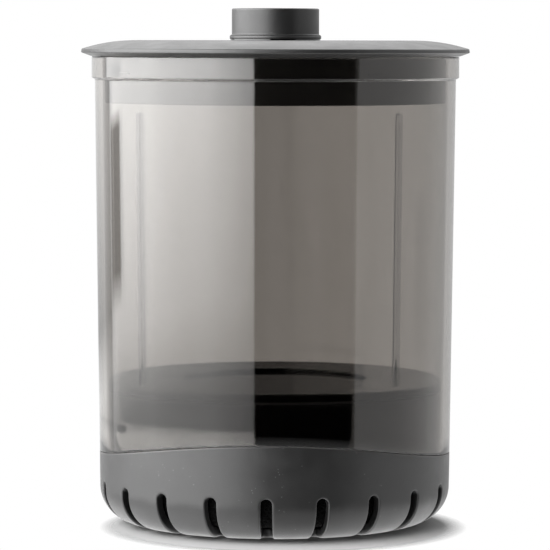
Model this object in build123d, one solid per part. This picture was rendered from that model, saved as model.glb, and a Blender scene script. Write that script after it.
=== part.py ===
from build123d import *
import os
from math import radians, tan

# A small canister filter. A slotted bowl stands on the floor, a smoked cup plugs down over the bowl's
# collar, and a lid with a swivelling outlet spigot plugs into the cup. Millimetres, +Z up, origin on the
# canister's axis at the level it stands on, front towards -Y. Azimuths run from the front towards +X.

# ---- driving dimensions --------------------------------------------------------------------------------

# The body's outside is one cone from the bowl's foot to the cup's collar.
shoulder_radius = 50.5  # outside radius at the shoulder's crest
body_draft = 0.69  # degrees, widening upwards

# Heights
bowl_bottom = 0.6  # above the floor
pillar_top = 16.1  # above the floor; the collar's flange rests here
shoulder_crest = 27.4  # above the floor, front and back
shoulder_drop = 7.0  # from the crest down to the sides
floor_rise = 14.3  # from the crest up to the floor plate's top
cup_rise = 106.5  # from the crest up to the cup's rim
lid_rise = 4.6  # from the cup's rim up to the lid's top
spigot_rise = 9.1  # from the lid's top up to the spigot's end

# Gaps and small edges that several pieces share
fit_gap = 0.3  # sideways, between pieces that lift apart
rest_gap = 0.1  # between faces that one piece rests another on
soft_edge = 0.3
crisp_edge = 0.2

# Bowl
bowl_wall = 2.5
bowl_rounding = 10.3
slot_count = 20
slot_width = 3.3
slot_top = 12.9
slot_reach = 12.3  # how far each slot runs in under the bowl from its side
pillar_count = 4
pillar_radius = 4.5
pillar_gap = 0.8  # between the pillars and the sponge's cage

# Screws and feet
screw_radius = 1.5
screw_hole = 1.75
screw_length = 21.0
screw_head_radius = 2.8
screw_head_height = 2.0
screw_head_rounding = 0.6
screw_point_radius = 0.3
recess_width = 0.7
recess_length = 3.2
recess_depth = 1.1
screw_well_radius = 3.0
foot_radius = 4.4
foot_recess = 1.6
foot_rounding = 0.4

# Collar that plugs into the cup
plug_gap = 0.6
collar_wall = 2.4
collar_rounding = 0.4
flange_thickness = 2.0
flange_reach = 4.2  # from the pillars' circle in to the flange's opening

# Sponge and its cage
sponge_gap = 0.6
sponge_inset = 0.4  # from the slots' inner ends out to the sponge
cage_wall = 1.4
cage_rim = 2.0
cage_windows = 24
cage_window_width = 6.0

# Floor plate, with a round recess for the inlet cap
floor_thickness = 2.2
floor_rounding = 0.5
gasket_thickness = 0.8
floor_gap = 0.5  # between the plate and the cup
recess_radius = 26.4
recess_wall = 2.0
ledge_depth = 4.2  # from the plate's top down to the ledge that the cap stands on
ledge_thickness = 2.0
ledge_width = 3.4
post_radius = 3.5
post_bore = 1.55
locating_rim_depth = 2.5
locating_rim_wall = 1.5

# Inlet cap
cap_sink = 1.0  # from the plate's top down to the cap's top
cap_gap = 1.0  # round the cap, where the water comes up
cap_thickness = 1.4
cap_fins = 8
cap_fin_width = 1.2
cap_windows = 24
cap_window_width = 4.0
cap_skirt_gap = 0.4
cap_skirt_depth = 2.7  # below the ledge's top
cap_skirt_wall = 2.4
mesh_step = 1.2  # the skirt is this much thinner below the mesh's seat
mesh_drop = 0.4  # from the ledge's top down to the mesh's seat
mesh_thickness = 0.4
clip_height = 1.2
clip_width = 1.4

# Cup
cup_wall = 2.2
seat_gap = 0.3  # between the cup's foot and the shoulder
cup_collar_proud = 0.9
cup_collar_height = 6.5
cup_collar_lead = 0.5  # height of the slope under the collar
cup_rim_rounding = 0.5
rib_azimuths = (-45.0, 45.0)
rib_width = 1.3
rib_depth = 1.0
rib_clear = 0.9  # above the floor plate
rib_stop = 15.5  # below the cup's rim

# Lid
lid_overhang = 3.0  # beyond the cup's collar
lid_crown_width = 15.3  # from the edge in to the flat of the top
lid_crown_drop = 2.4
lid_edge_height = 1.15
lid_edge_inset = 0.3  # the edge's upper corner
lid_edge_undercut = 0.2  # the edge's lower corner
lid_plate = 2.2
lid_seat_gap = 0.3
skirt_gap = 0.7
skirt_wall = 2.2
skirt_depth = 13.2  # below the cup's rim
lid_rib_count = 4
lid_rib_width = 1.6
lid_rib_depth = 8.6
lug_azimuth = 36.0
lug_count = 4
lug_width = 4.5
lug_height = 0.5
lug_depth = 0.35
lug_drop = 4.9  # below the cup's rim
gasket_inset = 0.6  # from the cup's bore out to the gasket
gasket_margin = 0.4  # from the gasket out to the collar's edge
gasket_groove = 0.8

# Pad and pad grid in the lid's skirt
tray_thickness = 1.8
tray_inset = 0.2  # above the skirt's edge
tray_bar = 1.6
tray_spokes = 16
tray_rings = (12.0, 23.0, 34.0)
tray_hub = 5.0
tray_rim_width = 3.0
pad_gap = 0.3  # under the lid's ribs

# Outlet spigot
spigot_radius = 12.5
spigot_wall = 2.1
spigot_running_gap = 0.06
spigot_rounding = 0.5
spigot_bore_rounding = 0.4
boss_wall = 2.7
boss_depth = 6.0  # below the lid's plate
foot_ring_proud = 0.6
foot_ring_height = 1.1
washer_thickness = 0.4
o_ring_drop = 4.5  # below the lid's top
o_ring_section = 1.1
o_ring_groove_depth = 1.2
clip_drop = 0.4  # below the boss
clip_thickness = 0.9
clip_groove_depth = 0.9
clip_ring_width = 2.6
clip_mouth = 8.0
clip_slack = 0.1
spigot_lip = 0.7  # below the clip

# ---- derived sizes ---------------------------------------------------------------------------------------


def outer_radius(z):
    """Outside radius of the canister's body at height z."""
    return shoulder_radius + (z - shoulder_crest) * tan(radians(body_draft))


def bowl_bore(z):
    return outer_radius(z) - bowl_wall


def cup_bore(z):
    return outer_radius(z) - cup_wall


def collar_radius(z):
    return cup_bore(z) - plug_gap


def skirt_radius(z):
    return cup_bore(z) - skirt_gap


# Radius of the shoulder's arch
shoulder_sweep = (shoulder_radius**2 + shoulder_drop**2) / (2 * shoulder_drop)
bowl_floor = bowl_bottom + bowl_wall
slot_inner = outer_radius(bowl_bottom) - slot_reach
sponge_inner = slot_inner + sponge_inset
cage_outer = sponge_inner - sponge_gap
pillar_circle = cage_outer - cage_wall - pillar_gap - pillar_radius
foot_top = bowl_bottom + foot_recess
screw_head_bottom = foot_top + rest_gap
screw_head_top = screw_head_bottom + screw_head_height

floor_top = shoulder_crest + floor_rise
floor_bottom = floor_top - floor_thickness
collar_top = floor_bottom - gasket_thickness
flange_top = pillar_top + flange_thickness
ledge_top = floor_top - ledge_depth
floor_hole = recess_radius - ledge_width
cap_top = floor_top - cap_sink
cap_bottom = cap_top - cap_thickness
cap_skirt_radius = floor_hole - cap_skirt_gap
mesh_seat = ledge_top - mesh_drop
mesh_bore = cap_skirt_radius - cap_skirt_wall + mesh_step

cup_top = shoulder_crest + cup_rise
cup_step = cup_top - cup_collar_height
cup_collar_radius = outer_radius(cup_step) + cup_collar_proud
rib_bottom = floor_top + rib_clear
rib_top = cup_top - rib_stop

lid_top = cup_top + lid_rise
lid_radius = cup_collar_radius + lid_overhang
lid_under = lid_top - lid_plate
lid_seat = cup_top + lid_seat_gap
lid_rib_bottom = lid_under - lid_rib_depth
lug_level = cup_top - lug_drop
skirt_bottom = cup_top - skirt_depth
lid_gasket_inner = cup_bore(cup_top) + gasket_inset
lid_gasket_outer = cup_collar_radius - gasket_margin
tray_bottom = skirt_bottom + tray_inset
tray_top = tray_bottom + tray_thickness
pad_top = lid_rib_bottom - pad_gap

spigot_top = lid_top + spigot_rise
spigot_bore = spigot_radius - spigot_wall
boss_bottom = lid_under - boss_depth
boss_bore = spigot_radius + spigot_running_gap
boss_outer = boss_bore + boss_wall
foot_ring_bottom = lid_top + washer_thickness
foot_ring_radius = spigot_radius + foot_ring_proud
o_ring_level = lid_top - o_ring_drop
clip_level = boss_bottom - clip_drop - clip_thickness
clip_inner = spigot_radius - clip_groove_depth + clip_slack
clip_outer = clip_inner + clip_ring_width
spigot_bottom = clip_level - spigot_lip


# ---- helpers ---------------------------------------------------------------------------------------------


def section(*corners):
    """A closed outline of (radius, height) corners; a third number rounds that corner."""
    face = make_face(Polyline(*[corner[:2] for corner in corners], close=True))
    for radius, height, *rounding in corners:
        if rounding:
            corner = face.vertices().sort_by_distance((radius, height, 0))[0]
            face = fillet(corner, rounding[0])
    return face


def turned(*corners):
    """The solid that a section makes when it turns about the canister's axis."""
    return revolve(Plane.XZ * section(*corners), Axis.Z)


def disc(radius, bottom, top):
    return Pos(0, 0, bottom) * Cylinder(radius, top - bottom, align=(Align.CENTER, Align.CENTER, Align.MIN))


def tube(outer, inner, bottom, top):
    return disc(outer, bottom, top) - disc(inner, bottom, top)


def at_azimuth(azimuth, solid):
    """Turns a solid drawn along +X round to an azimuth."""
    return Rot(0, 0, azimuth - 90) * solid


def around(count, solid, start=0.0):
    """Copies of a solid drawn along +X, evenly round the axis."""
    return [at_azimuth(start + index * 360 / count, solid) for index in range(count)]


def radial_bar(inner, outer, width, bottom, top):
    """A bar along +X from one radius to another."""
    bar = Box(outer - inner, width, top - bottom, align=(Align.MIN, Align.CENTER, Align.MIN))
    return Pos(inner, 0, bottom) * bar


def radial_fin(corners, width):
    """A fin in the plane of +X and Z, from (radius, height) corners."""
    return extrude(Plane.XZ * section(*corners), width / 2, both=True)


def grating(radius, rim_width, rings, hub, spokes, bar, bottom, top):
    """A round grating of rings and spokes."""
    solid = tube(radius, radius - rim_width, bottom, top)
    for ring in rings:
        solid += tube(ring + bar / 2, ring - bar / 2, bottom, top)
    solid += disc(hub, bottom, top)
    for spoke in around(spokes, radial_bar(hub / 2, radius - rim_width / 2, bar, bottom, top)):
        solid += spoke
    return solid


def arch(extra):
    """Everything under the shoulder's arch, which runs front to back; extra raises it."""
    across = Rot(90, 0, 0) * Cylinder(shoulder_sweep + extra, 4 * shoulder_radius)
    return Pos(0, 0, shoulder_crest - shoulder_sweep) * across


def on_pillars(solid):
    """Copies of a solid drawn on the axis, one at each pillar."""
    return [
        at_azimuth(45 + index * 360 / pillar_count, Pos(pillar_circle, 0, 0) * solid)
        for index in range(pillar_count)
    ]


# ---- base -----------------------------------------------------------------------------------------------


def base_bowl():
    rim = shoulder_crest + 1
    bowl = turned(
        (0, bowl_bottom),
        (outer_radius(bowl_bottom), bowl_bottom, bowl_rounding),
        (outer_radius(rim), rim),
        (bowl_bore(rim), rim),
        (bowl_bore(bowl_floor), bowl_floor, bowl_rounding - bowl_wall),
        (0, bowl_floor),
    )
    bowl &= arch(0)
    for pillar in on_pillars(disc(pillar_radius, bowl_floor - 1, pillar_top)):
        bowl += pillar
    slot_height = slot_top - slot_width / 2
    slot = Rectangle(slot_width, slot_height + 1, align=(Align.CENTER, Align.MAX)) + Circle(slot_width / 2)
    cutter = Pos(slot_inner, 0, slot_height) * extrude(Plane.YZ * slot, shoulder_radius)
    for copy in around(slot_count, cutter):
        bowl -= copy
    well = disc(foot_radius, 0, foot_top)
    well += disc(screw_well_radius, bowl_bottom, screw_head_top)
    well += disc(screw_hole, screw_head_top, pillar_top)
    for hole in on_pillars(well):
        bowl -= hole
    return bowl


def plug_collar():
    flange_opening = pillar_circle - flange_reach
    collar = turned(
        (flange_opening, pillar_top),
        (collar_radius(pillar_top), pillar_top),
        (collar_radius(collar_top), collar_top, collar_rounding),
        (collar_radius(collar_top) - collar_wall, collar_top),
        (collar_radius(flange_top) - collar_wall, flange_top),
        (flange_opening, flange_top),
    )
    for hole in on_pillars(disc(screw_hole, pillar_top - 1, flange_top + 1)):
        collar -= hole
    return collar


def floor_gasket():
    outer = collar_radius(collar_top) - fit_gap
    inner = collar_radius(collar_top) - collar_wall + fit_gap
    return tube(outer, inner, collar_top, floor_bottom)


def support_floor():
    plate_radius = cup_bore(floor_top) - floor_gap
    rim_radius = collar_radius(collar_top - locating_rim_depth) - collar_wall - fit_gap
    well_radius = recess_radius + recess_wall
    well_bottom = ledge_top - ledge_thickness
    floor = turned(
        (floor_hole, well_bottom),
        (well_radius, well_bottom, soft_edge),
        (well_radius, floor_bottom),
        (rim_radius - locating_rim_wall, floor_bottom),
        (rim_radius - locating_rim_wall, floor_bottom - locating_rim_depth),
        (rim_radius, floor_bottom - locating_rim_depth),
        (rim_radius, floor_bottom),
        (plate_radius, floor_bottom),
        (plate_radius, floor_top, floor_rounding),
        (recess_radius, floor_top, crisp_edge),
        (recess_radius, ledge_top),
        (floor_hole, ledge_top),
    )
    for post in on_pillars(disc(post_radius, flange_top, floor_bottom + floor_thickness / 2)):
        floor += post
    for bore in on_pillars(disc(post_bore, pillar_top, screw_head_top + screw_length + screw_radius)):
        floor -= bore
    return floor


def sponge_cage():
    cage = tube(cage_outer, cage_outer - cage_wall, bowl_floor, pillar_top)
    window_bottom = bowl_floor + cage_rim
    window_top = pillar_top - cage_rim
    window_inner = cage_outer - 2 * cage_wall
    window = radial_bar(window_inner, sponge_inner, cage_window_width, window_bottom, window_top)
    for copy in around(cage_windows, window, start=180 / cage_windows):
        cage -= copy
    return cage


def prefilter_sponge():
    bottom = bowl_floor + sponge_gap / 2
    top = pillar_top - sponge_gap / 2
    return turned(
        (sponge_inner, bottom),
        (bowl_bore(bottom) - sponge_gap, bottom, bowl_rounding - bowl_wall - sponge_gap / 2),
        (bowl_bore(top) - sponge_gap, top),
        (sponge_inner, top),
    )


def base_screws():
    """Pan-head screws, head down, with a cross recess."""
    screw = disc(screw_head_radius, screw_head_bottom, screw_head_top)
    screw = fillet(screw.edges().sort_by(Axis.Z)[0], screw_head_rounding)
    point = screw_head_top + screw_length - screw_radius
    screw += disc(screw_radius, screw_head_bottom + recess_depth, point)
    base_up = (Align.CENTER, Align.CENTER, Align.MIN)
    screw += Pos(0, 0, point) * Cone(screw_radius, screw_point_radius, screw_radius, align=base_up)
    for turn in (0, 90):
        slit = Rot(0, 0, turn) * Box(recess_length, recess_width, 2 * recess_depth)
        screw -= Pos(0, 0, screw_head_bottom) * slit
    return Compound(children=on_pillars(screw))


def rubber_feet():
    """Soft plugs that close the screw wells and carry the canister."""
    foot = disc(foot_radius - rest_gap, 0, foot_top)
    foot = fillet(foot.edges().sort_by(Axis.Z)[0], foot_rounding)
    return Compound(children=on_pillars(foot))


# ---- inlet cap -------------------------------------------------------------------------------------------


def inlet_cap():
    """A closed disc on fins. Water comes up inside its skirt and out between the fins."""
    skirt_bottom_level = ledge_top - cap_skirt_depth
    cap = turned(
        (0, cap_bottom),
        (cap_skirt_radius - cap_skirt_wall, cap_bottom),
        (cap_skirt_radius - cap_skirt_wall, mesh_seat),
        (mesh_bore, mesh_seat),
        (mesh_bore, skirt_bottom_level),
        (cap_skirt_radius, skirt_bottom_level, soft_edge),
        (cap_skirt_radius, cap_bottom),
        (recess_radius - cap_gap, cap_bottom),
        (recess_radius - cap_gap, cap_top, soft_edge),
        (0, cap_top),
    )
    window_inner = cap_skirt_radius - 2 * cap_skirt_wall
    window = radial_bar(window_inner, floor_hole, cap_window_width, ledge_top + rest_gap, cap_bottom)
    for copy in around(cap_windows, window):
        cap -= copy
    fin_end = recess_radius - cap_gap - soft_edge
    fin_start = cap_skirt_radius - cap_skirt_wall / 2
    fin = radial_bar(fin_start, fin_end, cap_fin_width, ledge_top + rest_gap, cap_bottom + soft_edge)
    for copy in around(cap_fins, fin, start=180 / cap_windows):
        cap += copy
    return cap


def inlet_mesh():
    return disc(mesh_bore - rest_gap, mesh_seat - mesh_thickness, mesh_seat)


def mesh_clip_ring():
    outer = mesh_bore - rest_gap
    top = mesh_seat - mesh_thickness
    return tube(outer, outer - clip_width, top - clip_height, top)


# ---- cup ------------------------------------------------------------------------------------------------


def cup():
    foot = shoulder_crest - shoulder_drop - cup_wall
    shell = turned(
        (cup_bore(foot), foot),
        (outer_radius(foot), foot),
        (outer_radius(cup_step), cup_step),
        (cup_collar_radius, cup_step + cup_collar_lead, crisp_edge),
        (cup_collar_radius, cup_top, cup_rim_rounding),
        (cup_bore(cup_top), cup_top, cup_rim_rounding),
    )
    shell -= arch(seat_gap)
    rib = radial_fin(
        [
            (cup_bore(rib_bottom) - rib_depth, rib_bottom),
            (cup_bore(rib_bottom) + cup_wall / 2, rib_bottom),
            (cup_bore(rib_top) + cup_wall / 2, rib_top),
            (cup_bore(rib_top) - rib_depth, rib_top),
        ],
        rib_width,
    )
    for azimuth in rib_azimuths:
        shell += at_azimuth(azimuth, rib)
    return shell


# ---- lid ------------------------------------------------------------------------------------------------


def lid_shell():
    edge_top = lid_top - lid_crown_drop
    edge_bottom = edge_top - lid_edge_height
    crown_start = lid_radius - lid_edge_inset - lid_crown_width
    # The crown leaves the flat top without a kink.
    sweep = (lid_crown_width**2 + lid_crown_drop**2) / (2 * lid_crown_drop)
    half = lid_crown_width / 2
    crown_edge = (lid_radius - lid_edge_inset, edge_top)
    crown_middle = (crown_start + half, lid_top - sweep + (sweep**2 - half**2) ** 0.5)
    crown = ThreePointArc(crown_edge, crown_middle, (crown_start, lid_top))
    rest = Polyline(
        (crown_start, lid_top),
        (boss_bore, lid_top),
        (boss_bore, boss_bottom),
        (boss_outer, boss_bottom),
        (boss_outer, lid_under),
        (skirt_radius(lid_under) - skirt_wall, lid_under),
        (skirt_radius(skirt_bottom) - skirt_wall, skirt_bottom),
        (skirt_radius(skirt_bottom), skirt_bottom),
        (skirt_radius(lid_seat), lid_seat),
        (cup_collar_radius + soft_edge, lid_seat),
        (lid_radius - lid_edge_undercut, edge_bottom),
        (lid_radius, (edge_top + edge_bottom) / 2),
        crown_edge,
    )
    lid = revolve(Plane.XZ * make_face([crown, rest]), Axis.Z)
    groove_outer = lid_gasket_outer + rest_gap
    groove_inner = lid_gasket_inner - rest_gap
    lid -= tube(groove_outer, groove_inner, cup_top, lid_seat + gasket_groove)
    rib_end = skirt_radius(lid_rib_bottom) - skirt_wall / 2
    rib_start = boss_outer - crisp_edge
    rib = radial_bar(rib_start, rib_end, lid_rib_width, lid_rib_bottom, lid_under + lid_plate / 2)
    for copy in around(lid_rib_count, rib, start=45):
        lid += copy
    lug_root = skirt_radius(lug_level) - skirt_wall / 2
    lug_tip = skirt_radius(lug_level) + lug_depth
    lug = radial_bar(lug_root, lug_tip, lug_width, lug_level, lug_level + lug_height)
    for copy in around(lug_count, lug, start=lug_azimuth):
        lid += copy
    return lid


def lid_gasket():
    return tube(lid_gasket_outer, lid_gasket_inner, cup_top + rest_gap, lid_seat + gasket_groove)


def pad_grid():
    radius = skirt_radius(tray_bottom) - skirt_wall - fit_gap
    rings = tray_rings
    return grating(radius, tray_rim_width, rings, tray_hub, tray_spokes, tray_bar, tray_bottom, tray_top)


def polishing_pad():
    return disc(skirt_radius(tray_top) - skirt_wall - 2 * fit_gap, tray_top, pad_top)


# ---- outlet spigot --------------------------------------------------------------------------------------


def outlet_spigot():
    ring_top = foot_ring_bottom + foot_ring_height
    spigot = turned(
        (spigot_bore, spigot_bottom),
        (spigot_radius, spigot_bottom, soft_edge),
        (spigot_radius, foot_ring_bottom),
        (foot_ring_radius, foot_ring_bottom),
        (foot_ring_radius, ring_top, soft_edge),
        (spigot_radius, ring_top),
        (spigot_radius, spigot_top, spigot_rounding),
        (spigot_bore, spigot_top, spigot_bore_rounding),
    )
    half = o_ring_section / 2 + clip_slack
    groove_floor = spigot_radius - o_ring_groove_depth
    spigot -= tube(foot_ring_radius, groove_floor, o_ring_level - half, o_ring_level + half)
    clip_floor = spigot_radius - clip_groove_depth
    spigot -= tube(foot_ring_radius, clip_floor, clip_level, clip_level + clip_thickness + clip_slack)
    return spigot


def spigot_washer():
    outer = foot_ring_radius - crisp_edge
    return tube(outer, spigot_radius + rest_gap, lid_top + rest_gap / 2, foot_ring_bottom)


def spigot_o_ring():
    major = spigot_radius - o_ring_groove_depth + o_ring_section / 2
    return Pos(0, 0, o_ring_level) * Torus(major, o_ring_section / 2)


def spigot_clip():
    """Retaining ring in the spigot's groove, open at one side."""
    bottom = clip_level + clip_slack / 2
    top = bottom + clip_thickness
    clip = tube(clip_outer, clip_inner, bottom, top)
    return clip - radial_bar(clip_inner / 2, clip_outer + clip_slack, clip_mouth, bottom, top)


PIECES = [
    base_bowl,
    plug_collar,
    floor_gasket,
    support_floor,
    sponge_cage,
    prefilter_sponge,
    base_screws,
    rubber_feet,
    inlet_cap,
    inlet_mesh,
    mesh_clip_ring,
    cup,
    lid_shell,
    lid_gasket,
    pad_grid,
    polishing_pad,
    outlet_spigot,
    spigot_washer,
    spigot_o_ring,
    spigot_clip,
]

os.makedirs("parts", exist_ok=True)
for piece in PIECES:
    export_step(piece(), "parts/" + piece.__name__ + ".step")
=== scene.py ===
import math

import bmesh
import bpy
import numpy as np
from mathutils import Matrix, Vector, noise


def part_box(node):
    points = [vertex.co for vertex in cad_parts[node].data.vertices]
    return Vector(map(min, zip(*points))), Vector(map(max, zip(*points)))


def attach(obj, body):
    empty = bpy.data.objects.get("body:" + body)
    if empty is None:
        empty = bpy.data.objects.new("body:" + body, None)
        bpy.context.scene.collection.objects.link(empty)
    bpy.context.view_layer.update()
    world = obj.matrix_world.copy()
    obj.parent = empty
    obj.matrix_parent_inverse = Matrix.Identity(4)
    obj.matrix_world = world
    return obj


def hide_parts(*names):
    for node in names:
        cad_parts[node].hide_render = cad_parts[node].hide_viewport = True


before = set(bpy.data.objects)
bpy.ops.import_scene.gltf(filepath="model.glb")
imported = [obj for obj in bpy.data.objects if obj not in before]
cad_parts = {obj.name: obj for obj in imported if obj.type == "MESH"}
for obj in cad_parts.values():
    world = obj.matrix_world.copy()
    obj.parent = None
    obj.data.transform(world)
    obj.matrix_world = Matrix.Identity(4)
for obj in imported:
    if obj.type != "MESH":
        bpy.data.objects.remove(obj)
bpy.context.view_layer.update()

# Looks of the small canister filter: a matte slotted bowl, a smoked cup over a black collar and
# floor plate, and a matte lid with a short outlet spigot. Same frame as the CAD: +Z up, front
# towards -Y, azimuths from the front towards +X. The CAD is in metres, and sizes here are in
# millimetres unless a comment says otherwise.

MM = 0.001

# ---- sizes, from the frame, or in millimetres where the frame can't give them --------------------


def low(node):
    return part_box(node)[0] / MM


def high(node):
    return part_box(node)[1] / MM


SHOULDER_CREST = high("base_bowl").z
SHOULDER_RADIUS = high("base_bowl").y
BOWL_BOTTOM = low("base_bowl").z
SHOULDER_DROP = 7.0
SHOULDER_SWEEP = (SHOULDER_RADIUS**2 + SHOULDER_DROP**2) / (2 * SHOULDER_DROP)
DRAFT = math.radians(0.69)  # the body's outside widens upwards by this angle
BOWL_WALL = 2.5
BOWL_ROUNDING = 10.3
SLOT_COUNT = 20
SLOT_WIDTH = 3.3
SLOT_TOP = 12.9
SLOT_INNER = 37.88  # the slots start at this radius on the underside
CUP_WALL = 2.2
CUP_STEP = 127.4  # height at which the cup's rim collar starts
CUP_LEAD = 0.5
SEAT_GAP = 0.3
RIB_AZIMUTHS = (-45.0, 45.0)  # degrees
RIB_RADIUS = 48.5  # of the cup's inside wall, about, for turning widths into angles
RIB_WIDTH = 1.3
RIB_DEPTH = 0.6
RIB_FLANK = 0.3
RIB_END = 0.3  # length over which a rib's ends run out
RIB_TOP = 118.4
RIB_BOTTOM = high("support_floor").z + 0.9
LID_TOP = high("lid_shell").z
LID_RADIUS = high("lid_shell").x
LID_WALL = 2.2
LID_EDGE_DROP = 2.4  # from the crown to the rim's upper edge
LID_RIM_DROP = 3.55  # from the crown to the rim's lower edge
CROWN_START = 40.0  # the lid is flat up to this radius
LID_SEAT_GAP = 0.12
SKIRT_GAP = 0.7
SKIRT_WALL = 2.2
LUG_Z = 129.25
BOSS_WALL = 2.7
BOSS_LOW = 130.3
SPIGOT_BORE = 10.4
SPIGOT_RADIUS = high("outlet_spigot").x - 0.6  # its foot ring stands out by 0.6
SPIGOT_PLAY = 0.06
CLIP_GROOVE = (129.0, 130.0, 0.9)  # lower height, upper height, depth
O_RING_GROOVE = (133.3, 134.7, 1.2)
FOOT_RING = 13.1
FOOT_RING_HEIGHT = 1.1
SPONGE_BORE = 38.35
SPONGE_FOOT = 7.2  # rounding of the sponge where it lies in the bowl's


def outer_radius(z):
    """Outside radius of the body at height z, in millimetres."""
    return SHOULDER_RADIUS + (z - SHOULDER_CREST) * math.tan(DRAFT)


def skirt_radius(z):
    """Outside radius of the lid's skirt at height z, in millimetres."""
    return outer_radius(z) - CUP_WALL - SKIRT_GAP


def shoulder_height(x):
    """Height of the shoulder's arch at x, in millimetres."""
    return SHOULDER_CREST - SHOULDER_SWEEP + np.sqrt(SHOULDER_SWEEP**2 - np.square(x))


# ---- mesh helpers --------------------------------------------------------------------------------


def link(name, data):
    """An object with the given mesh or camera, in the scene."""
    obj = bpy.data.objects.new(name, data)
    bpy.context.scene.collection.objects.link(obj)
    return obj


def new_mesh(name, points, faces):
    """A smooth object from points and corner indices. Doubles are merged and normals face out."""
    mesh = bpy.data.meshes.new(name)
    mesh.from_pydata((np.asarray(points) * MM).tolist(), [], faces)
    work = bmesh.new()
    work.from_mesh(mesh)
    bmesh.ops.remove_doubles(work, verts=work.verts, dist=2e-6)
    bmesh.ops.dissolve_degenerate(work, edges=work.edges, dist=1e-7)
    bmesh.ops.recalc_face_normals(work, faces=work.faces)
    work.to_mesh(mesh)
    work.free()
    mesh.polygons.foreach_set("use_smooth", [True] * len(mesh.polygons))
    return link(name, mesh)


def round_corners(corners, steps=5, support=0.18):
    """An outline with its marked corners turned into arcs.

    corners are (radius, height[, rounding]). Each arc has a support point close to either end.
    """
    points = []
    count = len(corners)
    for index, corner in enumerate(corners):
        here = Vector(corner[:2])
        rounding = corner[2] if len(corner) > 2 else 0.0
        if not rounding:
            points.append(here)
            continue
        before = (Vector(corners[index - 1][:2]) - here).normalized()
        after = (Vector(corners[(index + 1) % count][:2]) - here).normalized()
        half = before.angle(after) / 2
        reach = rounding / math.tan(half)
        centre = here + (before + after).normalized() * (rounding / math.sin(half))
        start, end = here + before * reach - centre, here + after * reach - centre
        turn = start.angle(end)
        points.append(here + before * (reach + support))
        for step in range(steps + 1):
            share = step / steps
            blend = start * math.sin((1 - share) * turn) + end * math.sin(share * turn)
            points.append(centre + blend / math.sin(turn))
        points.append(here + after * (reach + support))
    return points


def lathe(name, corners, segments=256, closed=True):
    """A turned solid from an outline of (radius, height[, rounding]) corners.

    An outline that starts and ends on the axis isn't closed.
    """
    outline = round_corners(corners)
    angles = np.arange(segments) * 2 * math.pi / segments
    points, faces = [], []
    for point in outline:
        points += [(point.x * math.cos(a), point.x * math.sin(a), point.y) for a in angles]
    rows = len(outline)
    for row in range(rows if closed else rows - 1):
        below, above = row * segments, ((row + 1) % rows) * segments
        for column in range(segments):
            after = (column + 1) % segments
            faces.append((below + column, below + after, above + after, above + column))
    return new_mesh(name, points, faces)


def grid_faces(first, rows, columns, closed_rows=False, closed_columns=False):
    """Quads of a grid of points that starts at index first, row by row."""
    faces = []
    for row in range(rows if closed_rows else rows - 1):
        for column in range(columns if closed_columns else columns - 1):
            here, after = first + row * columns, first + (row + 1) % rows * columns
            right = (column + 1) % columns
            faces.append((here + column, here + right, after + right, after + column))
    return faces


def set_material(obj, material):
    obj.data.materials.clear()
    obj.data.materials.append(material)


def stands_for(obj, node, material, body):
    """obj replaces a CAD node and rides on that node's body."""
    set_material(obj, material)
    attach(obj, body)
    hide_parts(node)
    return obj


def bevelled_box(name, centre, size, turn, edge):
    """A small box with rounded edges, turned about Z."""
    work = bmesh.new()
    bmesh.ops.create_cube(work, size=1)
    bmesh.ops.scale(work, verts=work.verts, vec=Vector(size) * MM)
    bmesh.ops.bevel(work, geom=work.edges[:], offset=edge * MM, segments=3, affect="EDGES", profile=0.5)
    place = Matrix.Rotation(turn, 4, "Z") @ Matrix.Translation(Vector(centre) * MM)
    bmesh.ops.transform(work, verts=work.verts, matrix=place)
    mesh = bpy.data.meshes.new(name)
    work.to_mesh(mesh)
    work.free()
    mesh.polygons.foreach_set("use_smooth", [True] * len(mesh.polygons))
    return link(name, mesh)


# ---- material helpers ----------------------------------------------------------------------------


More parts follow.
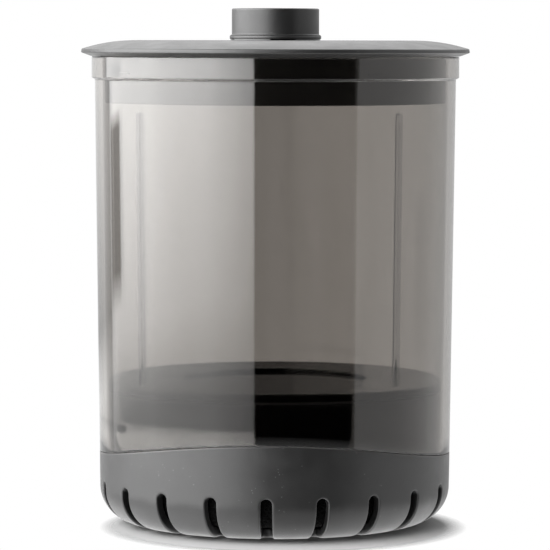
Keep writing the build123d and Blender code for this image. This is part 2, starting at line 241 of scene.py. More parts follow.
class Nodes:
    """Short calls for building a node tree."""

    def __init__(self, tree):
        self.tree = tree
        tree.nodes.clear()

    def add(self, kind, **settings):
        """A node. A setting that starts with in_ goes to the input of that name or number."""
        node = self.tree.nodes.new(kind)
        for key, value in settings.items():
            if key.startswith("in_"):
                self.feed(self.socket(node, key.removeprefix("in_")), value)
            else:
                setattr(node, key, value)
        return node

    def feed(self, socket, value):
        """Links an output to a socket, or sets the socket's value."""
        if isinstance(value, bpy.types.NodeSocket):
            self.tree.links.new(value, socket)
        else:
            socket.default_value = value

    def socket(self, node, key):
        if key.isdigit():
            return node.inputs[int(key)]
        for socket in node.inputs:
            if socket.name.lower().replace(" ", "_") == key and socket.enabled:
                return socket
        raise KeyError(f"{node.bl_idname} has no input {key}")

    def math(self, operation, a, b=0.0):
        return self.add("ShaderNodeMath", operation=operation, in_0=a, in_1=b).outputs[0]

    def product(self, *factors):
        result = factors[0]
        for factor in factors[1:]:
            result = self.math("MULTIPLY", result, factor)
        return result

    def rest(self, value):
        """1 - value."""
        return self.math("SUBTRACT", 1.0, value)

    def noise(self, scale, detail, roughness, vector):
        return self.add(
            "ShaderNodeTexNoise", in_scale=scale, in_detail=detail, in_roughness=roughness,
            in_vector=vector,
        ).outputs["Fac"]

    def span(self, value, from_min, from_max, to_min, to_max):
        """value's place between two limits, as the same place between two others, clamped."""
        return self.add(
            "ShaderNodeMapRange", in_value=value, in_from_min=from_min, in_from_max=from_max,
            in_to_min=to_min, in_to_max=to_max,
        ).outputs[0]

    def blend(self, fac, dark, light):
        """A colour between two, by fac."""
        # A mix node has its fac at input 0, colours at 6 and 7, and numbers at 2 and 3.
        mix = self.add("ShaderNodeMix", data_type="RGBA", in_0=fac, in_6=dark, in_7=light)
        return mix.outputs[2]

    def choose(self, fac, first, second):
        """A number between two, by fac."""
        mix = self.add("ShaderNodeMix", data_type="FLOAT", in_0=fac, in_2=first, in_3=second)
        return mix.outputs[0]

    def mix_shaders(self, fac, first, second):
        return self.add("ShaderNodeMixShader", in_0=fac, in_1=first, in_2=second).outputs[0]

    def stretched(self, vector, *scale):
        return self.add("ShaderNodeMapping", in_vector=vector, in_scale=scale).outputs[0]

    def bump(self, height, strength, distance):
        return self.add(
            "ShaderNodeBump", in_height=height, in_strength=strength, in_distance=distance
        ).outputs[0]

    def principled(self, colour, rough, normal, **settings):
        return self.add(
            "ShaderNodeBsdfPrincipled", in_base_color=colour, in_roughness=rough, in_normal=normal,
            **settings,
        ).outputs[0]

    def place(self):
        return self.add("ShaderNodeTexCoord").outputs["Object"]


def grey(value, warm=0.0):
    return (value * (1 + warm), value, value * (1 - warm), 1.0)


def new_material(name):
    material = bpy.data.materials.new(name)
    material.use_nodes = True
    return material, Nodes(material.node_tree)


def finish_material(nodes, shader):
    nodes.add("ShaderNodeOutputMaterial", in_surface=shader)


def moulded_plastic(name, tones, roughs, grain, grain_size, specks, bloom=0.0):
    """Moulded plastic: a fine grain, cloudy tone and roughness, and a few pale specks of dust.

    tones and roughs are each a lowest and a highest value. bloom is the pale film that a grained
    surface shows at its limbs.
    """
    material, n = new_material(name)
    place = n.place()
    cloud = n.noise(55.0, 4.0, 0.6, place)
    fine = n.noise(1.0 / (grain_size * MM), 2.0, 0.6, place)
    colour = n.blend(n.span(cloud, 0.35, 0.65, 0.0, 1.0), grey(tones[0]), grey(tones[1]))
    dots = n.add("ShaderNodeTexVoronoi", in_scale=1 / (0.9 * MM), in_vector=place)
    keep = n.math("GREATER_THAN", n.noise(230.0, 2.0, 0.5, place), 0.62)
    near = n.math("LESS_THAN", dots.outputs["Distance"], 0.13)
    colour = n.blend(n.product(keep, near, specks), colour, grey(0.45))
    rough = n.span(n.noise(140.0, 3.0, 0.6, place), 0.3, 0.7, *roughs)
    normal = n.bump(fine, grain, 0.06 * MM)
    finish_material(
        n, n.principled(colour, rough, normal, in_sheen_weight=bloom, in_sheen_roughness=0.35)
    )
    return material


def gloss_plastic(name, tone, roughs):
    """Smooth black plastic with faint smears and hairline scratches."""
    material, n = new_material(name)
    place = n.place()
    smear = n.noise(70.0, 4.0, 0.65, place)
    scratch = n.noise(1.0, 2.0, 0.5, n.stretched(place, 900.0, 900.0, 60.0))
    line = n.span(scratch, 0.62, 0.72, 0.0, 1.0)
    rough = n.math("ADD", n.span(smear, 0.3, 0.7, *roughs), n.product(line, 0.12))
    colour = n.blend(smear, grey(tone * 0.8), grey(tone * 1.25))
    normal = n.bump(smear, 0.08, 0.05 * MM)
    finish_material(n, n.principled(colour, rough, normal))
    return material


def on_ribs(n, place):
    """1 on the cup's ribs, where the plastic is thicker and looks darker."""
    x, y, z = n.add("ShaderNodeSeparateXYZ", in_vector=place).outputs
    azimuth = n.math("ARCTAN2", x, n.product(y, -1.0))
    half = RIB_WIDTH / 2 / SHOULDER_RADIUS
    ribs = 0.0
    for rib in RIB_AZIMUTHS:
        away = n.math("ABSOLUTE", n.math("SUBTRACT", azimuth, math.radians(rib)))
        ribs = n.math("ADD", ribs, n.span(away, 0.85 * half, 1.1 * half, 1.0, 0.0))
    above = n.span(z, RIB_BOTTOM * MM, (RIB_BOTTOM + RIB_END) * MM, 0.0, 1.0)
    below = n.span(z, (RIB_TOP - RIB_END) * MM, RIB_TOP * MM, 1.0, 0.0)
    return n.product(ribs, n.product(above, below))


def smoked_plastic():
    """Clear smoked plastic: tinted glass for sight and a tinted window for lamps.

    The window lets light in, so that what the cup holds is lit.
    """
    material, n = new_material("smoked_plastic")
    place = n.place()
    flow = n.noise(1.0, 3.0, 0.5, n.stretched(place, 120.0, 120.0, 14.0))
    cloud = n.span(flow, 0.3, 0.7, 0.0, 1.0)
    tint = n.blend(cloud, (0.405, 0.385, 0.362, 1), (0.44, 0.42, 0.40, 1))
    tint = n.blend(on_ribs(n, place), tint, (0.25, 0.24, 0.235, 1))
    rough = n.span(n.noise(300.0, 3.0, 0.6, place), 0.45, 0.8, 0.0, 0.035)
    normal = n.bump(flow, 0.05, 0.03 * MM)
    glass = n.principled(tint, rough, normal, in_ior=1.49, in_transmission_weight=1.0)
    window = n.add("ShaderNodeBsdfTransparent", in_color=(0.62, 0.60, 0.59, 1)).outputs[0]
    lamp = n.add("ShaderNodeLightPath").outputs["Is Shadow Ray"]
    finish_material(n, n.mix_shaders(lamp, glass, window))
    return material


def soft_rubber():
    material, n = new_material("seal_rubber")
    place = n.place()
    grain = n.noise(1800.0, 3.0, 0.6, place)
    colour = n.blend(n.noise(120.0, 3.0, 0.6, place), grey(0.012), grey(0.03))
    rough = n.span(grain, 0.3, 0.7, 0.62, 0.8)
    finish_material(n, n.principled(colour, rough, n.bump(grain, 0.3, 0.03 * MM)))
    return material


def open_foam(name, dark, light, pore, shine=0.5):
    """Open-cell foam: pits between pale struts, the pits darkened as painted shade. pore is a cell's size
    in millimetres.
    """
    material, n = new_material(name)
    place = n.place()
    cells = n.add(
        "ShaderNodeTexVoronoi", feature="DISTANCE_TO_EDGE", in_scale=1 / (pore * MM),
        in_vector=place,
    )
    strut = n.span(cells.outputs[0], 0.02, 0.22, 1.0, 0.0)
    # Painted shade: the pits inside the cells get the darker colour, and the struts get the paler one.
    colour = n.blend(strut, dark, light)
    rough = n.span(n.noise(900.0, 2.0, 0.5, place), 0.3, 0.7, 0.75, 0.95)
    normal = n.bump(strut, 0.9, 0.25 * MM)
    finish_material(n, n.principled(colour, rough, normal, in_specular_ior_level=shine))
    return material


def bright_steel(name, *scale):
    """Stainless steel with fine scratches, stretched along the axes with a smaller scale."""
    material, n = new_material(name)
    line = n.noise(1.0, 3.0, 0.6, n.stretched(n.place(), *scale))
    colour = n.blend(line, grey(0.42, 0.01), grey(0.62, 0.01))
    rough = n.span(line, 0.3, 0.7, 0.22, 0.38)
    normal = n.bump(line, 0.15, 0.02 * MM)
    finish_material(n, n.principled(colour, rough, normal, in_metallic=1.0))
    return material


BOWL_PLASTIC = moulded_plastic(
    "bowl_plastic", (0.008, 0.013), (0.32, 0.42), grain=0.55, grain_size=0.22, specks=0.22,
    bloom=0.16,
)
LID_PLASTIC = moulded_plastic(
    "lid_plastic", (0.014, 0.019), (0.36, 0.44), grain=0.22, grain_size=0.18, specks=0.12
)
INNER_PLASTIC = gloss_plastic("inner_plastic", 0.003, (0.03, 0.09))
SMOKED = smoked_plastic()
RUBBER = soft_rubber()
# Each foam's first colour is for its pits and carries painted shade. The second colour is for its struts.
BLACK_FOAM = open_foam("black_foam", grey(0.0006), grey(0.003), pore=1.1, shine=0.08)
WHITE_FOAM = open_foam("white_foam", (0.32, 0.35, 0.36, 1), (0.78, 0.81, 0.82, 1), pore=0.6)
STEEL = bright_steel("screw_steel", 1500.0, 1500.0, 1500.0)
MESH_STEEL = bright_steel("mesh_steel", 300.0, 300.0, 3000.0)

# ---- bowl ----------------------------------------------------------------------------------------

FILLET_Z = BOWL_BOTTOM + BOWL_ROUNDING
FILLET_R = outer_radius(FILLET_Z) - BOWL_ROUNDING / math.cos(DRAFT)
FILLET_LENGTH = BOWL_ROUNDING * (math.pi / 2 - DRAFT)
CONE_START = FILLET_R + FILLET_LENGTH  # along the profile, from the axis out and up


def bowl_profile(s):
    """Radius, height and outward normal of the bowl's outside, s along its profile from the axis."""
    s = np.asarray(s, float)
    angle = np.clip((s - FILLET_R) / BOWL_ROUNDING, 0, math.pi / 2 - DRAFT) - math.pi / 2
    along = np.maximum(s - CONE_START, 0)
    flat = np.minimum(s, FILLET_R)
    radius = flat + BOWL_ROUNDING * np.cos(angle) + along * math.sin(DRAFT)
    height = FILLET_Z + BOWL_ROUNDING * np.sin(angle) + along * math.cos(DRAFT)
    return radius, height, np.cos(angle), np.sin(angle)


def on_bowl(x, s, depth, azimuth):
    """Points on the bowl: x sideways from a slot's middle, s along the profile, depth into the wall."""
    radius, height, out, up = bowl_profile(s)
    angle = azimuth + x / np.maximum(radius, 1.0)
    r = radius - out * depth
    z = height - up * depth
    return np.stack([r * np.sin(angle), -r * np.cos(angle), z + 0 * angle], -1)


def slot_loop(sides, ends):
    """A slot's outline as (x, s, normal x, normal s), and as many points on its sector's border."""
    half = SLOT_WIDTH / 2
    foot = SLOT_INNER + half
    head = CONE_START + (SLOT_TOP - bowl_profile(CONE_START)[1]) / math.cos(DRAFT) - half
    margin_low, margin_high = 2.2, 2.6
    border_low, border_high = SLOT_INNER - margin_low, head + half + margin_high
    sector = math.pi / SLOT_COUNT
    loop, border = [], []
    up = np.linspace(0, 1, sides)
    for share in up[:-1]:
        loop.append((half, foot + share * (head - foot), 1, 0))
        border.append((1, border_low + share * (border_high - border_low)))
    for share in np.linspace(0, 1, ends)[:-1]:
        turn = share * math.pi
        loop.append((half * math.cos(turn), head + half * math.sin(turn), math.cos(turn), math.sin(turn)))
        border.append((1 - 2 * share, border_high))
    for share in up[::-1][:-1]:
        loop.append((-half, foot + share * (head - foot), -1, 0))
        border.append((-1, border_low + share * (border_high - border_low)))
    for share in np.linspace(0, 1, ends)[:-1]:
        turn = math.pi + share * math.pi
        loop.append((half * math.cos(turn), foot + half * math.sin(turn), math.cos(turn), math.sin(turn)))
        border.append((-1 + 2 * share, border_low))
    loop, border = np.array(loop), np.array(border)
    border[:, 0] *= bowl_profile(border[:, 1])[0] * sector
    return loop, border, border_low, border_high


def bowl_mesh():
    """The bowl as one closed shell.

    Each sector has rings round its slot with rounded lips, rows up to the arch, and its share of
    the bottom.
    """
    lip, inner_lip, rim = 0.45, 0.2, 0.25  # radii of the edges' rounding
    support = 0.15  # distance of an extra row from the rim's rounding
    sides, ends, arc = 34, 13, 6  # numbers of points along a slot's parts and a lip
    loop, border, border_low, border_high = slot_loop(sides, ends)
    rings = []  # (x, s, depth) of each ring, from the inside's border through the slot to the outside's
    spread = [1.0, 0.66, 0.33, 0.1]

    def offset_ring(distance, depth):
        x = loop[:, 0] + loop[:, 2] * distance
        s = loop[:, 1] + loop[:, 3] * distance
        return x, s, depth + 0 * x

    def border_ring(share, distance, depth):
        x, s, d = offset_ring(distance, depth)
        return x + (border[:, 0] - x) * share, s + (border[:, 1] - s) * share, d

    for share in spread:
        rings.append(border_ring(share, inner_lip, BOWL_WALL))
    for step in range(arc, -1, -1):
        turn = step / arc * math.pi / 2
        depth = BOWL_WALL - inner_lip * (1 - math.sin(turn))
        rings.append(offset_ring(inner_lip * (1 - math.cos(turn)), depth))
    for depth in (1.9, 1.4, 0.9):
        rings.append(offset_ring(0.0, depth))
    for step in range(arc + 1):
        turn = step / arc * math.pi / 2
        rings.append(offset_ring(lip * (1 - math.cos(turn)), lip * (1 - math.sin(turn))))
    for share in spread[::-1]:
        rings.append(border_ring(share, lip, 0.0))

    across = np.linspace(-1, 1, ends)
    sector = math.pi / SLOT_COUNT
    foot_rows = [border_low, 30.0, 24.0, 17.0, 10.0, 4.0]
    levels = np.linspace(0, 1, 9)[:-1]
    turns = np.linspace(0, math.pi / 2, 5)
    points, faces = [], []
    for slot in range(SLOT_COUNT):
        azimuth = 2 * sector * slot
        first = len(points)
        for x, s, depth in rings:
            points += on_bowl(x, s, depth, azimuth).tolist()
        faces += grid_faces(first, len(rings), len(loop), closed_columns=True)

        angles = azimuth + across * sector
        first = len(points)
        path = [(share, 0.0, 0.0) for share in levels] + [(1.0, 0.0, -rim - support)]
        path += [(1.0, rim * (1 - math.cos(t)), -rim * (1 - math.sin(t))) for t in turns]
        path += [(1.0, BOWL_WALL - rim * (1 - math.sin(t)), -rim * (1 - math.cos(t))) for t in turns]
        path += [(1.0, BOWL_WALL, -rim - support)]
        path += [(share, BOWL_WALL, 0.0) for share in levels[::-1]]
        start_radius, start_height, out, up = bowl_profile(border_high)
        for share, depth, drop in path:  # up the outside, over the rim and down the inside
            radius = start_radius - out * depth
            for _ in range(2):  # the arch's height and the radius depend on each other
                top = shoulder_height(radius * np.sin(angles))
                radius = outer_radius(top) - depth
            low_z = start_height - up * depth
            height = low_z + (top - low_z) * share + drop
            r = outer_radius(height) - depth * math.cos(DRAFT)
            if share == 0:
                r = start_radius - out * depth + 0 * angles
            points += np.stack([r * np.sin(angles), -r * np.cos(angles), height], -1).tolist()
        faces += grid_faces(first, len(path), len(across))

        for depth in (0.0, BOWL_WALL):
            first = len(points)
            for radius in foot_rows:
                z = BOWL_BOTTOM + depth
                points += [(radius * math.sin(a), -radius * math.cos(a), z) for a in angles]
            faces += grid_faces(first, len(foot_rows), len(across))
            centre = len(points)
            points.append((0, 0, BOWL_BOTTOM + depth))
            last = first + (len(foot_rows) - 1) * len(across)
            faces += [(centre, last + k, last + k + 1) for k in range(len(across) - 1)]
    return new_mesh("bowl", points, faces)


def pillar(index):
    """One of the posts inside the bowl that carry the collar."""
    distance, bore, radius = 31.0, 1.75, 4.5
    place = Matrix.Rotation(math.radians(45 + 90 * index), 4, "Z") @ Vector((distance * MM, 0, 0))
    bore_low, low_edge, top = BOWL_BOTTOM + 4.5, BOWL_BOTTOM + 2.4, low("plug_collar").z
    post = lathe(
        f"bowl_pillar_{index}",
        [(bore, bore_low), (radius, low_edge), (radius, top, 0.3), (bore, top, 0.3)],
        segments=48,
    )
    post.data.transform(Matrix.Translation(place))
    set_material(post, BOWL_PLASTIC)
    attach(post, "base")


# ---- cup -----------------------------------------------------------------------------------------


def cup_columns():
    """Azimuths of the cup's columns, closer together at the ribs."""
    columns = 288
    half = RIB_WIDTH / 2 / RIB_RADIUS
    flank = (0.5, 0.6, 0.7, 0.8, 0.9, 1.0, 1.15, 1.6)
    angles = list(np.arange(columns) * 2 * math.pi / columns)
    for azimuth in RIB_AZIMUTHS:
        middle = math.radians(azimuth) % (2 * math.pi)
        angles = [a for a in angles if abs(a - middle) > 1.8 * half]
        angles += [middle + share * half for share in (*[-s for s in flank], 0, *flank)]
    return np.array(sorted(angles))


def rib_height(angles, z):
    """How far the inside wall stands in at the ribs."""
    total = 0 * angles
    for azimuth in RIB_AZIMUTHS:
        middle = math.radians(azimuth) % (2 * math.pi)
        away = np.abs(angles - middle) * RIB_RADIUS
        side = np.clip((RIB_WIDTH / 2 - away) / RIB_FLANK, 0, 1)
        total = total + side * side * (3 - 2 * side)
    ends = np.clip((z - RIB_BOTTOM) / RIB_END, 0, 1) * np.clip((RIB_TOP - z) / RIB_END, 0, 1)
    return RIB_DEPTH * total * ends


def cup_mesh():
    """The cup's wall: up from its arched foot, over the rim, and down the inside with its ribs."""
    angles = cup_columns()
    edge, support = 0.2, 0.35  # the foot's rounding, and an extra row above it
    collar = high("cup").x
    top = high("cup").z
    below_step = CUP_STEP - 4
    arch_middle, inside_low = 24.0, 32.0  # heights of the arch's middle and of the lowest level row
    arc = np.linspace(0, math.pi / 2, 5)
    rows = []

    def foot_height(radius):
        return shoulder_height(radius * np.sin(angles)) + SEAT_GAP

    def wall_row(share, depth, rise):
        """share runs from the arched foot to the step under the collar."""
        foot = foot_height(outer_radius(arch_middle) - depth)
        z = foot + rise + (CUP_STEP - foot - rise) * share
        return outer_radius(z) - depth, z

    for turn in arc:
        rows.append(wall_row(0.0, edge * (1 - math.sin(turn)), edge * (1 - math.cos(turn))))
    for share in np.linspace(0, 1, 30)[1:-1]:
        rows.append(wall_row(share, 0.0, support))
    for radius, z in round_corners(
        [
            (outer_radius(below_step), below_step),
            (outer_radius(CUP_STEP), CUP_STEP, 0.25),
            (collar, CUP_STEP + CUP_LEAD, 0.25),
            (collar, top, 0.25),
            (outer_radius(top) - CUP_WALL, top, 0.5),
            (outer_radius(below_step) - CUP_WALL, below_step),
        ]
    )[1:-1]:
        rows.append((radius + 0 * angles, z + 0 * angles))
    inner_levels = list(np.linspace(RIB_TOP + 3, inside_low, 34))
    for step in (-0.1, 0.0, 0.15, RIB_END, 0.5):
        inner_levels += [RIB_TOP - step, RIB_BOTTOM + step]
    for z in sorted(inner_levels, reverse=True):
        rows.append((outer_radius(z) - CUP_WALL - rib_height(angles, z), z + 0 * angles))
    for turn in arc:
        rows.append(wall_row(0.0, CUP_WALL - edge * (1 - math.cos(turn)), edge * (1 - math.sin(turn))))
    points = []
    for radius, z in rows:
        points += np.stack([radius * np.sin(angles), -radius * np.cos(angles), z], -1).tolist()
    faces = grid_faces(0, len(rows), len(angles), closed_rows=True, closed_columns=True)
    return new_mesh("smoked_cup", points, faces)


# ---- lid -----------------------------------------------------------------------------------------


def lid_mesh():
    """The lid's shell: crown, rim, the gasket's groove, the skirt, and the boss round the spigot."""
    rim_top, rim_bottom = LID_TOP - LID_EDGE_DROP, LID_TOP - LID_RIM_DROP
    run = LID_RADIUS - 0.3 - CROWN_START
    sweep = (run**2 + LID_EDGE_DROP**2) / (2 * LID_EDGE_DROP)
    skirt_low = low("lid_shell").z
    seat = high("cup").z + LID_SEAT_GAP
    gasket = high("lid_gasket")
    groove_outer, groove_inner, groove_top = gasket.x + 0.1, gasket.x - 2.22, gasket.z + 0.05
    under = LID_TOP - LID_WALL
    bore = SPIGOT_RADIUS + SPIGOT_PLAY
    boss = bore + BOSS_WALL
    crown = [
        (CROWN_START + run * share, LID_TOP - sweep + math.sqrt(sweep**2 - (run * share) ** 2))
        for share in np.linspace(0.06, 0.95, 16)
    ]
    corners = [
        (bore, LID_TOP, 0.25),
        (CROWN_START - 12, LID_TOP),
        (CROWN_START, LID_TOP),
        *crown,
        (LID_RADIUS - 0.15, rim_top, 0.5),
        (LID_RADIUS, rim_bottom + 0.05, 0.28),
        (high("cup").x + 0.25, seat, 0.2),
        (groove_outer, seat),
        (groove_outer, groove_top),
        (groove_inner, groove_top),
        (groove_inner, seat),
        (skirt_radius(seat), seat, 0.2),
        (skirt_radius(seat - 3), seat - 3),
        (skirt_radius(skirt_low), skirt_low, 0.3),
        (skirt_radius(skirt_low) - SKIRT_WALL, skirt_low, 0.3),
        (skirt_radius(under) - SKIRT_WALL, under, 0.6),
        (boss, under, 0.6),
        (boss, BOSS_LOW, 0.25),
        (bore, BOSS_LOW, 0.25),
    ]
    return lathe("lid", corners, segments=320)


def lid_lug(index):
    """A small snap lug on the lid's skirt."""
    centre, size = (skirt_radius(LUG_Z) - 0.2, 0, LUG_Z), (1.1, 4.5, 0.5)
    turn = math.radians(36 + 90 * index) - math.pi / 2
    lug = bevelled_box(f"lid_lug_{index}", centre, size, turn, edge=0.12)
    set_material(lug, LID_PLASTIC)
    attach(lug, "lid")


def lid_rib(index):
    """A stiffening rib under the lid that also holds the pad down."""
    inner, outer = 15.0, skirt_radius(130.0) - SKIRT_WALL / 2
    bottom, top = 127.7, LID_TOP - 2.0
    thickness = 1.6
    size = (outer - inner, thickness, top - bottom)
    centre = ((inner + outer) / 2, 0, (top + bottom) / 2)
    turn = math.radians(45 + 90 * index)
    rib = bevelled_box(f"lid_rib_{index}", centre, size, turn, edge=0.2)
    set_material(rib, LID_PLASTIC)
    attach(rib, "lid")


# ---- spigot --------------------------------------------------------------------------------------


def spigot_mesh():
    """The outlet spigot: grooves for its clip and O-ring, the foot ring, and the plain stub."""
    top, bottom = high("outlet_spigot").z, low("outlet_spigot").z
    ring = high("spigot_washer").z
    corners = [(SPIGOT_BORE, bottom, 0.2), (SPIGOT_RADIUS, bottom, 0.3)]
    for (lower, upper, depth), edge in ((CLIP_GROOVE, 0.08), (O_RING_GROOVE, 0.1)):
        corners += [
            (SPIGOT_RADIUS, lower, edge),
            (SPIGOT_RADIUS - depth, lower, edge),
            (SPIGOT_RADIUS - depth, upper, edge),
            (SPIGOT_RADIUS, upper, edge),
        ]
    corners += [
        (SPIGOT_RADIUS, ring, 0.1),
        (FOOT_RING, ring, 0.2),
        (FOOT_RING, ring + FOOT_RING_HEIGHT, 0.45),
        (SPIGOT_RADIUS, ring + FOOT_RING_HEIGHT, 0.35),
        (SPIGOT_RADIUS, ring + 3.5),
        (SPIGOT_RADIUS, top, 0.45),
        (SPIGOT_BORE, top, 0.4),
    ]
    return lathe("spigot", corners, segments=160)


# ---- foam ----------------------------------------------------------------------------------------


def foam_ring():
    """The prefilter sponge: a ring with a pitted surface."""
    lower, upper = low("prefilter_sponge").z + 0.2, high("prefilter_sponge").z - 0.2
    outer = high("prefilter_sponge").y - 0.15
    corners = [
        (SPONGE_BORE, lower, 0.5),
        (outer - 0.2, lower, SPONGE_FOOT),
        (outer, upper, 0.6),
        (SPONGE_BORE, upper, 0.6),
    ]
    outline = resample(round_corners(corners, steps=12), 0.5)
    ring = lathe("sponge", outline, segments=560)
    pit(ring, cell=1.15, depth=0.34)
    return ring


def resample(outline, spacing, closed=True):
    """An outline of vectors with more points, at about even spacing."""
    points = []
    for index, here in enumerate(outline if closed else outline[:-1]):
        after = outline[(index + 1) % len(outline)]
        count = max(1, round((after - here).length / spacing))
        points += [here.lerp(after, step / count) for step in range(count)]
    return points if closed else points + [outline[-1]]


def pit(obj, cell, depth):
    """Sinks a mesh's surface between the walls of foam cells. Sizes are in millimetres."""
    normals = [v.normal.copy() for v in obj.data.vertices]
    for vertex, normal in zip(obj.data.vertices, normals):
        distances, _ = noise.voronoi(vertex.co / (cell * MM))
        share = min(1.0, (distances[1] - distances[0]) * 1.6)
        vertex.co -= normal * (depth * MM * share)


def foam_pad():
    """The polishing pad: a soft disc with a slightly pillowed edge."""
    lower, upper = low("polishing_pad").z + 0.05, high("polishing_pad").z - 0.05
    radius, edge = high("polishing_pad").x - 0.1, 1.2
    corners = [(0, lower), (radius, lower, edge), (radius, upper, edge), (0, upper)]
    outline = resample(round_corners(corners, steps=8), 0.9, closed=False)
    pad = lathe("pad", outline, segments=240, closed=False)
    pit(pad, cell=0.9, depth=0.12)
    return pad


# ---- put the object together ---------------------------------------------------------------------


def carried_over():
    """CAD nodes whose shape is final get their material."""
    looks = {
        INNER_PLASTIC: (
            "plug_collar", "support_floor", "sponge_cage", "inlet_cap", "mesh_clip_ring", "pad_grid",
            "spigot_washer",
        ),
        RUBBER: ("floor_gasket", "rubber_feet", "lid_gasket", "spigot_o_ring"),
        STEEL: ("base_screws", "spigot_clip"),
        MESH_STEEL: ("inlet_mesh",),
    }
    for material, nodes in looks.items():
        for node in nodes:
            set_material(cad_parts[node], material)


def build():
    stands_for(bowl_mesh(), "base_bowl", BOWL_PLASTIC, "base")
    for index in range(4):
        pillar(index)
        lid_lug(index)
        lid_rib(index)
    stands_for(cup_mesh(), "cup", SMOKED, "cup")
    stands_for(lid_mesh(), "lid_shell", LID_PLASTIC, "lid")
    stands_for(spigot_mesh(), "outlet_spigot", LID_PLASTIC, "spigot")
    stands_for(foam_ring(), "prefilter_sponge", BLACK_FOAM, "base")
    stands_for(foam_pad(), "polishing_pad", WHITE_FOAM, "pad_tray")
    carried_over()


# ---- floor, light and camera ---------------------------------------------------------------------


FLOOR_RADIUS = 0.2  # metres, as are the next three
CONTACT_CENTRE = (0.003, -0.011, 0.0)
CONTACT_FADE = (0.046, 0.0525)  # the eye sees the floor only this near to the contact's centre
FLOOR_FADE = (0.12, 0.19)  # other rays see it out to here


def floor():
    """A pale floor that catches shadows. Mirrors don't see it, and from below it is clear."""
    mesh = bpy.data.meshes.new("floor")
    work = bmesh.new()
    bmesh.ops.create_circle(work, cap_ends=True, segments=96, radius=FLOOR_RADIUS)
    work.to_mesh(mesh)
    work.free()
    obj = link("floor", mesh)
    material, n = new_material("floor")
    place = n.place()
    away = n.add("ShaderNodeVectorMath", operation="LENGTH", in_vector=place).outputs["Value"]
    colour = n.blend(n.noise(40.0, 3.0, 0.5, place), grey(0.30), grey(0.34))
    paper = n.add("ShaderNodeBsdfDiffuse", in_color=colour).outputs[0]
    clear = n.add("ShaderNodeBsdfTransparent").outputs[0]
    path = n.add("ShaderNodeLightPath")
    contact = n.add("ShaderNodeVectorMath", operation="DISTANCE", in_0=place, in_1=CONTACT_CENTRE)
    beyond = n.span(contact.outputs["Value"], *CONTACT_FADE, 0.0, 1.0)
    beyond = n.product(beyond, path.outputs["Is Camera Ray"])
    fade = n.math("MAXIMUM", beyond, n.span(away, *FLOOR_FADE, 0.0, 1.0))
    below = n.add("ShaderNodeNewGeometry").outputs["Backfacing"]
    see_through = n.math("MAXIMUM", n.math("MAXIMUM", fade, below), path.outputs["Is Glossy Ray"])
    finish_material(n, n.mix_shaders(see_through, paper, clear))
    set_material(obj, material)


SOFTBOX = 10.5  # brightness of the left softbox beside the white surroundings
STAND_SHADE = 0.85  # share of the softbox that its stand hides
INSIDE_LOSS = 0.7  # share of the softbox that is lost to rays inside the cup
BACK_GLOW = 1.7
LOW_LEFT_GLOW = 0.65
TABLE_GLOW = 1.2
# Azimuth in degrees from the front, and brightness there as a share of the softbox's
SURROUNDINGS = [
    (-180, 0.09), (-156, 0.10), (-141, 0.13), (-129, 0.11), (-127, 0.42), (-119, 0.52), (-84, 1.0),
    (-60, 0.96), (-39, 0.87), (-19.5, 0.59), (-11.3, 0.48), (-10.6, 0.0), (54.8, 0.0), (56.0, 0.09),
    (125, 0.09), (145, 0.07), (180, 0.06),
]


def surroundings_ramp(n, azimuth):
    """Brightness of the surroundings by azimuth."""
    ramp = n.add("ShaderNodeValToRGB", in_fac=n.span(azimuth, -math.pi, math.pi, 0.0, 1.0))
    stops = ramp.color_ramp.elements
    while len(stops) > 1:
        stops.remove(stops[-1])
    stops[0].position = 0.0
    stops[0].color = grey(SURROUNDINGS[0][1])
    for degrees, share in SURROUNDINGS[1:]:
        stops.new((degrees + 180) / 360).color = grey(share)
    return ramp.outputs[0]


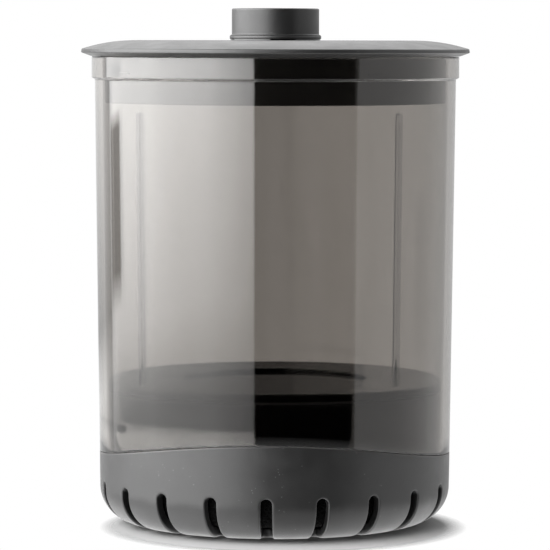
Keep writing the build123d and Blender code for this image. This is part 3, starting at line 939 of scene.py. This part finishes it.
def studio():
    """White surroundings for the eye, and a studio for mirrors and matt surfaces.

    The studio has a large softbox on the left, a dark front and a dim right wall. up runs from -1
    at the bottom to 1 overhead.
    """
    world = bpy.data.worlds.new("studio")
    world.use_nodes = True
    bpy.context.scene.world = world
    n = Nodes(world.node_tree)
    direction = n.add("ShaderNodeTexCoord").outputs["Generated"]
    right, back, up = n.add("ShaderNodeSeparateXYZ", in_vector=direction).outputs
    azimuth = n.math("ARCTAN2", right, n.product(back, -1.0))
    around = n.product(surroundings_ramp(n, azimuth), SOFTBOX)
    path = n.add("ShaderNodeLightPath")

    def over_azimuth(first, last, from_share, to_share):
        return n.span(azimuth, math.radians(first), math.radians(last), from_share, to_share)

    # The softbox fades downwards, its stand hides a strip, and little of it gets into the cup.
    fall = n.product(n.span(up, -0.125, -0.0175, 0.36, 1.0), n.span(up, -0.130, -0.100, 0.62, 1.0))
    stand = n.product(
        over_azimuth(-128.5, -126.5, 0.0, 1.0),
        over_azimuth(-116.0, -113.5, 1.0, 0.0),
        n.span(up, -0.038, -0.032, 1.0, 0.0),
        n.span(up, -0.092, -0.080, 0.0, 1.0),
    )
    inside = n.math("GREATER_THAN", path.outputs["Transmission Depth"], 2.5)
    softbox = n.product(
        fall, n.rest(n.product(stand, STAND_SHADE)), n.rest(n.product(inside, INSIDE_LOSS))
    )
    on_left = n.math("LESS_THAN", azimuth, math.radians(-10.0))
    around = n.product(around, n.math("ADD", n.product(on_left, softbox), n.rest(on_left)))

    # Glows of the back wall's upper part, the lowest part of the left side, and the table.
    behind = n.product(n.span(back, 0.1, 0.6, 0.0, 1.0), n.span(up, 0.18, 0.42, 0.0, 1.0))
    low_left = n.product(over_azimuth(-128, -118, 1.0, 0.0), n.span(up, -0.11, -0.09, 1.0, 0.0))
    table = n.span(up, -0.45, -0.2, 1.0, 0.0)
    for glow, amount in ((behind, BACK_GLOW), (low_left, LOW_LEFT_GLOW), (table, TABLE_GLOW)):
        around = n.math("ADD", around, n.product(glow, amount))

    white = 1.0
    lit = n.choose(n.span(up, 0.8, 0.95, 0.0, 1.0), around, white)  # overhead it is white
    bounces = n.math("ADD", path.outputs["Glossy Depth"], path.outputs["Diffuse Depth"])
    seen = n.math("LESS_THAN", bounces, 0.5)
    strength = n.choose(seen, lit, white)
    background = n.add("ShaderNodeBackground", in_color=(1, 1, 1, 1), in_strength=strength)
    n.add("ShaderNodeOutputWorld", in_surface=background.outputs[0])


def camera():
    """A long lens just above the lid's level, a little to the right of the front."""
    data = bpy.data.cameras.new("camera")
    data.sensor_width = 36.0
    data.lens = 222.1
    data.clip_start, data.clip_end = 0.05, 20.0
    obj = link("camera", data)
    distance, height = 0.974, 0.1395  # metres
    azimuth, pitch, roll = math.radians(2.69), math.radians(4.015), math.radians(0.11)
    obj.matrix_world = (
        Matrix.Translation((distance * math.sin(azimuth), -distance * math.cos(azimuth), height))
        @ Matrix.Rotation(azimuth, 4, "Z")
        @ Matrix.Rotation(math.pi / 2 - pitch, 4, "X")
        @ Matrix.Rotation(roll, 4, "Z")
    )
    bpy.context.scene.camera = obj


build()
floor()
studio()
camera()
bpy.context.scene.view_settings.view_transform = "Standard"
